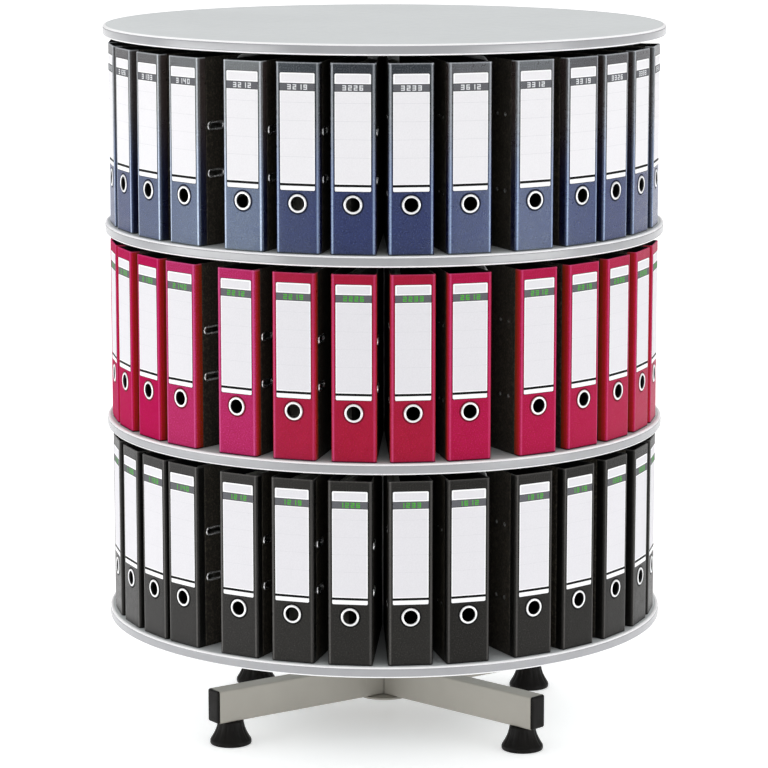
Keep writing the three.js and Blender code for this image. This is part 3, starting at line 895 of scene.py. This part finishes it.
def file_fittings():
    """Finger ring, lock-slot rims, rivets, lever mechanism and paper."""
    b = Build()
    ring = Build()
    ring.turned(
        [(11.9, -2.6), (11.9, 0.9), (12.1, 1.3), (12.6, 1.6), (13.5, 1.75), (14.5, 1.6), (15.3, 1.1), (15.6, 0.4), (15.6, 0.05), (12.6, 0.05), (12.6, -2.6)],
        48, ["lining"] + ["ring"] * 10, closed=True,
    )
    # a dark annulus round the ring: painted shade where the ring meets the film
    ring.turned([(15.65, 0.04), (15.65, 0.34), (18.0, 0.3), (18.7, 0.04)], 48, "rim", closed=True)
    b.take(ring, facing((0, 0, FINGER_Z), (0, -1, 0)))

    t = Vector((-23.2, 280.2, 0)).normalized()
    n = Vector((t.y, -t.x, 0))
    here = Vector((half_width(SLOT_Y), SLOT_Y, 0))
    for z in SLOT_Z:
        loops = []
        for grow, h in ((-0.9, -2.3), (-0.9, 0.9), (-0.4, 1.6), (0.8, 2.0), (2.0, 1.7), (2.7, 0.8), (2.8, 0.04), (-0.08, 0.04), (-0.08, -2.3)):
            loops.append([
                b.vert(*(here + t * u + n * h + Vector((0, 0, z + w)))) for u, w in stadium(SLOT_L + 2 * grow, SLOT_R + grow)
            ])
        b.rings(loops, "chrome", closed=True)
    # rivets of the lever mechanism on the back cover
    m = Vector((-n.x, n.y, 0))
    for y, z in ((38, 98), (38, 226), (66, 98), (66, 226)):
        s = Build()
        s.turned([(0, 0.03), (3.6, 0.03), (3.6, 0.25), (3.1, 0.7), (2.0, 1.0), (0, 1.1)], 20, "chrome")
        b.take(s, facing((-half_width(y), y, z), m))
    # lever mechanism: plate, two arches, lever
    s_in = Vector((t.x * -1, t.y, 0))
    at = lambda y, off, z: Vector((-half_width(y), y, z)) - m * (BOARD_T + off)
    s = Build()
    lo, hi = at(30, 0.3, 0), at(72, 0.3, 0)
    lo2, hi2 = at(30, 1.5, 0), at(72, 1.5, 0)
    ids = [[s.vert(q.x, q.y, z) for q in (lo, hi, hi2, lo2)] for z in (84, 240)]
    s.rings(ids, "chrome")
    s.face(ids[0], "chrome")
    s.face(ids[1], "chrome")
    for z in SLOT_Z:
        centre = at(58, 20, z)
        s.sweep([centre + Vector((17 * math.cos(a), 17 * math.sin(a), 0)) for a in [2 * math.pi * k / 28 for k in range(28)]], 1.6, 8, "chrome", closed=True)
    base = at(46, 3, 0)
    s.sweep([base + Vector((x, y, z)) for x, y, z in ((0, 0, 150), (8, -2, 162), (18, -5, 180), (24, -7, 205), (26, -8, 235), (26, -8, 258))],
            [2.6, 2.6, 2.8, 3.0, 3.4, 3.0], 10, "chrome")
    b.take(s)
    # paper, in a few bundles with uneven edges
    rnd = random.Random(5)
    off = 1.8
    for k in range(5):
        thick = (3.4, 4.2, 2.6, 3.8, 3.0)[k]
        y0, y1 = 62 + rnd.uniform(-0.8, 0.8), 272 + rnd.uniform(-2.0, 2.0)
        zt, zb = 302 + rnd.uniform(-1.2, 1.2), 5 + rnd.uniform(0, 0.8)
        q = [at(y0, off, 0), at(y1, off, 0), at(y1, off + thick * 0.92, 0), at(y0, off + thick, 0)]
        ids = [[b.vert(p.x, p.y, z) for p in q] for z in (zb, zt)]
        b.rings(ids, "pages")
        b.face(ids[0], "pages")
        b.face(ids[1], "pages")
        off += thick + 0.25
    return b


LABEL_W = 30.2
BANDS = [(17.4, 34.6, "label"), (34.6, 47.0, "label_band"), (47.0, 200.5, "label"), (200.5, 204.7, "label_ink"), (204.7, 212.0, "label")]
RULES = [66.0, 96.0, 126.0, 156.0]


def file_label():
    """The spine label: printed bands on one thin card."""
    b = Build()
    cuts = []
    for top, low, fin in BANDS:
        at = top
        for r in RULES:
            if top < r < low:
                cuts += [(at, r, fin), (r, r + 0.45, "label_rule")]
                at = r + 0.45
        cuts.append((at, low, fin))
    first, last = cuts[0][0], cuts[-1][1]
    cuts = [(first, first + 1.4, "label")] + [(first + 1.4, cuts[0][1], "label")] + cuts[1:-1] + [(cuts[-1][0], last - 1.4, "label"), (last - 1.4, last, "label")]
    levels = [c[0] for c in cuts] + [last]
    rows = []
    for k, top in enumerate(levels):
        w = LABEL_W - (1.4 if k in (0, len(levels) - 1) else 0.0)
        z = FILE_H - top
        rows.append([b.vert(-w, -0.38, z), b.vert(w, -0.38, z), b.vert(w, -0.03, z), b.vert(-w, -0.03, z)])
    for (a, c), cut in zip(zip(rows, rows[1:]), cuts):
        for k in range(4):
            j = (k + 1) % 4
            b.face((a[k], a[j], c[j], c[k]), cut[2] if k == 0 else "label")
    b.face(rows[0], "label")
    b.face(rows[-1], "label")
    # writing fields, a shade darker than the card
    b.box(-LABEL_W + 2.6, LABEL_W - 2.6, -0.43, -0.39, FILE_H - 32.4, FILE_H - 19.8, "label_field")
    stops = [48.6] + [v for r in RULES for v in (r, r + 0.45)] + [199.0]
    for top, low in zip(stops[::2], stops[1::2]):
        b.box(-LABEL_W + 1.5, LABEL_W - 1.5, -0.43, -0.39, FILE_H - low, FILE_H - top, "label_field")
    # dark lines over and under the grey band
    for at in (34.4, 46.6):
        b.box(-LABEL_W, LABEL_W, -0.42, -0.37, FILE_H - at - 0.7, FILE_H - at, "label_ink")
    # painted shade line round the card
    w, top, low = LABEL_W + 0.75, FILE_H - 16.7, FILE_H - 212.7
    for x0, x1, z0, z1 in ((-w, -LABEL_W - 0.02, low, top), (LABEL_W + 0.02, w, low, top), (-LABEL_W, LABEL_W, top - 0.68, top), (-LABEL_W, LABEL_W, low, low + 0.68)):
        b.box(x0, x1, -0.2, -0.03, z0, z1, "label_ink")
    return b


SEGMENTS = {"0": "abcdef", "1": "bc", "2": "abged", "3": "abgcd", "4": "fgbc", "5": "afgcd", "6": "afgedc", "7": "abc", "8": "abcdefg", "9": "abcdfg"}


def file_code(text):
    """Plain numerals on the label's grey band."""
    b = Build()
    w, h, t, pitch = 6.2, 8.6, 1.75, 9.4
    x0 = -(pitch * (len(text) - 1) + w) / 2
    zc = FILE_H - 40.8
    for ch in text:
        bars = {
            "a": (0, w, h - t, h), "g": (0, w, (h - t) / 2, (h + t) / 2), "d": (0, w, 0, t),
            "f": (0, t, h / 2, h), "b": (w - t, w, h / 2, h), "e": (0, t, 0, h / 2), "c": (w - t, w, 0, h / 2),
        }
        for k, s in enumerate(SEGMENTS[ch]):
            u0, u1, v0, v1 = bars[s]
            lift = 0.45 + 0.004 * k
            b.box(x0 + u0, x0 + u1, -lift, -0.40, zc - h / 2 + v0, zc - h / 2 + v1, "code")
        x0 += pitch
    return b


shell, fittings, label = file_shell(), file_fittings(), file_label()
TURNED = {("top", "left", 2): 1.6, ("top", "left", 4): -2.0}   # files that stand a little askew
rnd = random.Random(11)
for number, (tier, z) in enumerate(TIERS.items(), 1):
    for bay_number, (bay, angles) in enumerate(FILES[tier].items(), 1):
        for k, degrees in enumerate(angles):
            b = Build()
            for part in (shell, fittings, label, file_code(f"{number}{bay_number}{k * 7 + 12:02d}")):
                b.take(part)
            lit_copy = LIT_COPY_OF_FILE.get((tier, bay, k), LIT_COPY[bay])
            swap = {"film": f"film_{tier}_{lit_copy}", "rim": f"rim_{tier}", "label_field": "label_field_top" if tier == "top" else "label_field", "code": "code_top" if tier == "top" else "code_other"}
            b.m = [swap.get(f, f) for f in b.m]
            turn = degrees + rnd.uniform(-0.35, 0.35)
            if bay == "front" and k > 1:
                turn = degrees + (1.05 if k == 3 else -1.05)
            turn += TURNED.get((tier, bay, k), 0.0)
            d, _ = heading(degrees)
            place = Matrix.Translation((d * (SPINE_R - rnd.uniform(0.0, 1.6)) + Vector((0, 0, z + GAP))) * MM) @ Matrix.Rotation(math.radians(turn), 4, "Z")
            single = bay == "single"
            put(
                b, f"file_{tier}_{bay}_{k + 1}", ("file_" if single else "tier_") + tier, "file_" + tier,
                f"file_{tier}_single" if single else f"files_{tier}_{bay}", matrix=place,
            )

# ---------------------------------------------------------------- floor, light, camera
me = bpy.data.meshes.new("floor")
me.from_pydata([(-40, -40, 0), (40, -40, 0), (40, 40, 0), (-40, 40, 0)], [], [(0, 1, 2, 3)])
f = Finish("floor_pale", spec=0.2)
f.colour(f.mix(f.range(f.noise(1.5, 2.0), 0.3, 0.7), (0.92, 0.92, 0.92), (0.94, 0.94, 0.94)))
f.b.inputs["Roughness"].default_value = 0.7
f.b.inputs["Emission Color"].default_value = (1, 1, 1, 1)
far = f.node("ShaderNodeVectorMath", operation="LENGTH")
f.link(f.place, far.inputs[0])
# glow of the floor, dimmer towards the front and brighter far behind
glow = f.math("ADD", f.range(f.axis(1), -2.6, -0.5, 0.1, 0.42, True), f.range(f.axis(1), 3.0, 14.0, 0.0, 0.45, True))
# painted shadow: the glow is dimmed near the axis, under the cabinet
glow = f.math("MULTIPLY", glow, f.range(far.outputs["Value"], 0.1, 0.38, 0.56, 1.0, True))
f.link(glow, f.b.inputs["Emission Strength"])
me.materials.append(f.m)
floor = bpy.data.objects.new("floor", me)
bpy.context.scene.collection.objects.link(floor)

scene = bpy.context.scene
world = bpy.data.worlds.new("studio")
world.use_nodes = True
bg = next(n for n in world.node_tree.nodes if n.type == "BACKGROUND")
bg.inputs["Color"].default_value = (1, 1, 1, 1)
bg.inputs["Strength"].default_value = 0.34
scene.world = world


def area(name, place, target, size, watts, colour=(1, 1, 1)):
    data = bpy.data.lights.new(name, "AREA")
    data.shape = "RECTANGLE"
    data.size, data.size_y = size
    data.energy = watts
    data.color = colour
    ob = bpy.data.objects.new(name, data)
    scene.collection.objects.link(ob)
    ob.location = place
    ob.rotation_euler = (Vector(target) - Vector(place)).to_track_quat("-Z", "Y").to_euler()
    return ob


area("key_left", (-3.84, -1.71, 0.62), (0, 0, 0.62), (4.0, 1.0), 50)
area("key_right", (3.42, -2.44, 0.62), (0, 0, 0.62), (3.0, 1.0), 38)
area("front", (0, -6.0, 3.4), (0, 0, 0.6), (4.0, 2.5), 27)
area("overhead_back", (0, 5.5, 6.5), (0, 5.5, 0), (18.0, 22.0), 1120)

cam = bpy.data.cameras.new("camera")
cam.sensor_width = 36.0
cam.lens = 3404.45 / 768 * 36.0
cam.clip_end = 120
eye = bpy.data.objects.new("camera", cam)
eye.location = (-0.0007, -6.0709, 1.7030)
eye.rotation_euler = (math.pi / 2 - 0.177, 0, 0)
scene.collection.objects.link(eye)
scene.camera = eye
scene.view_settings.view_transform = "Standard"

bpy.context.view_layer.update()
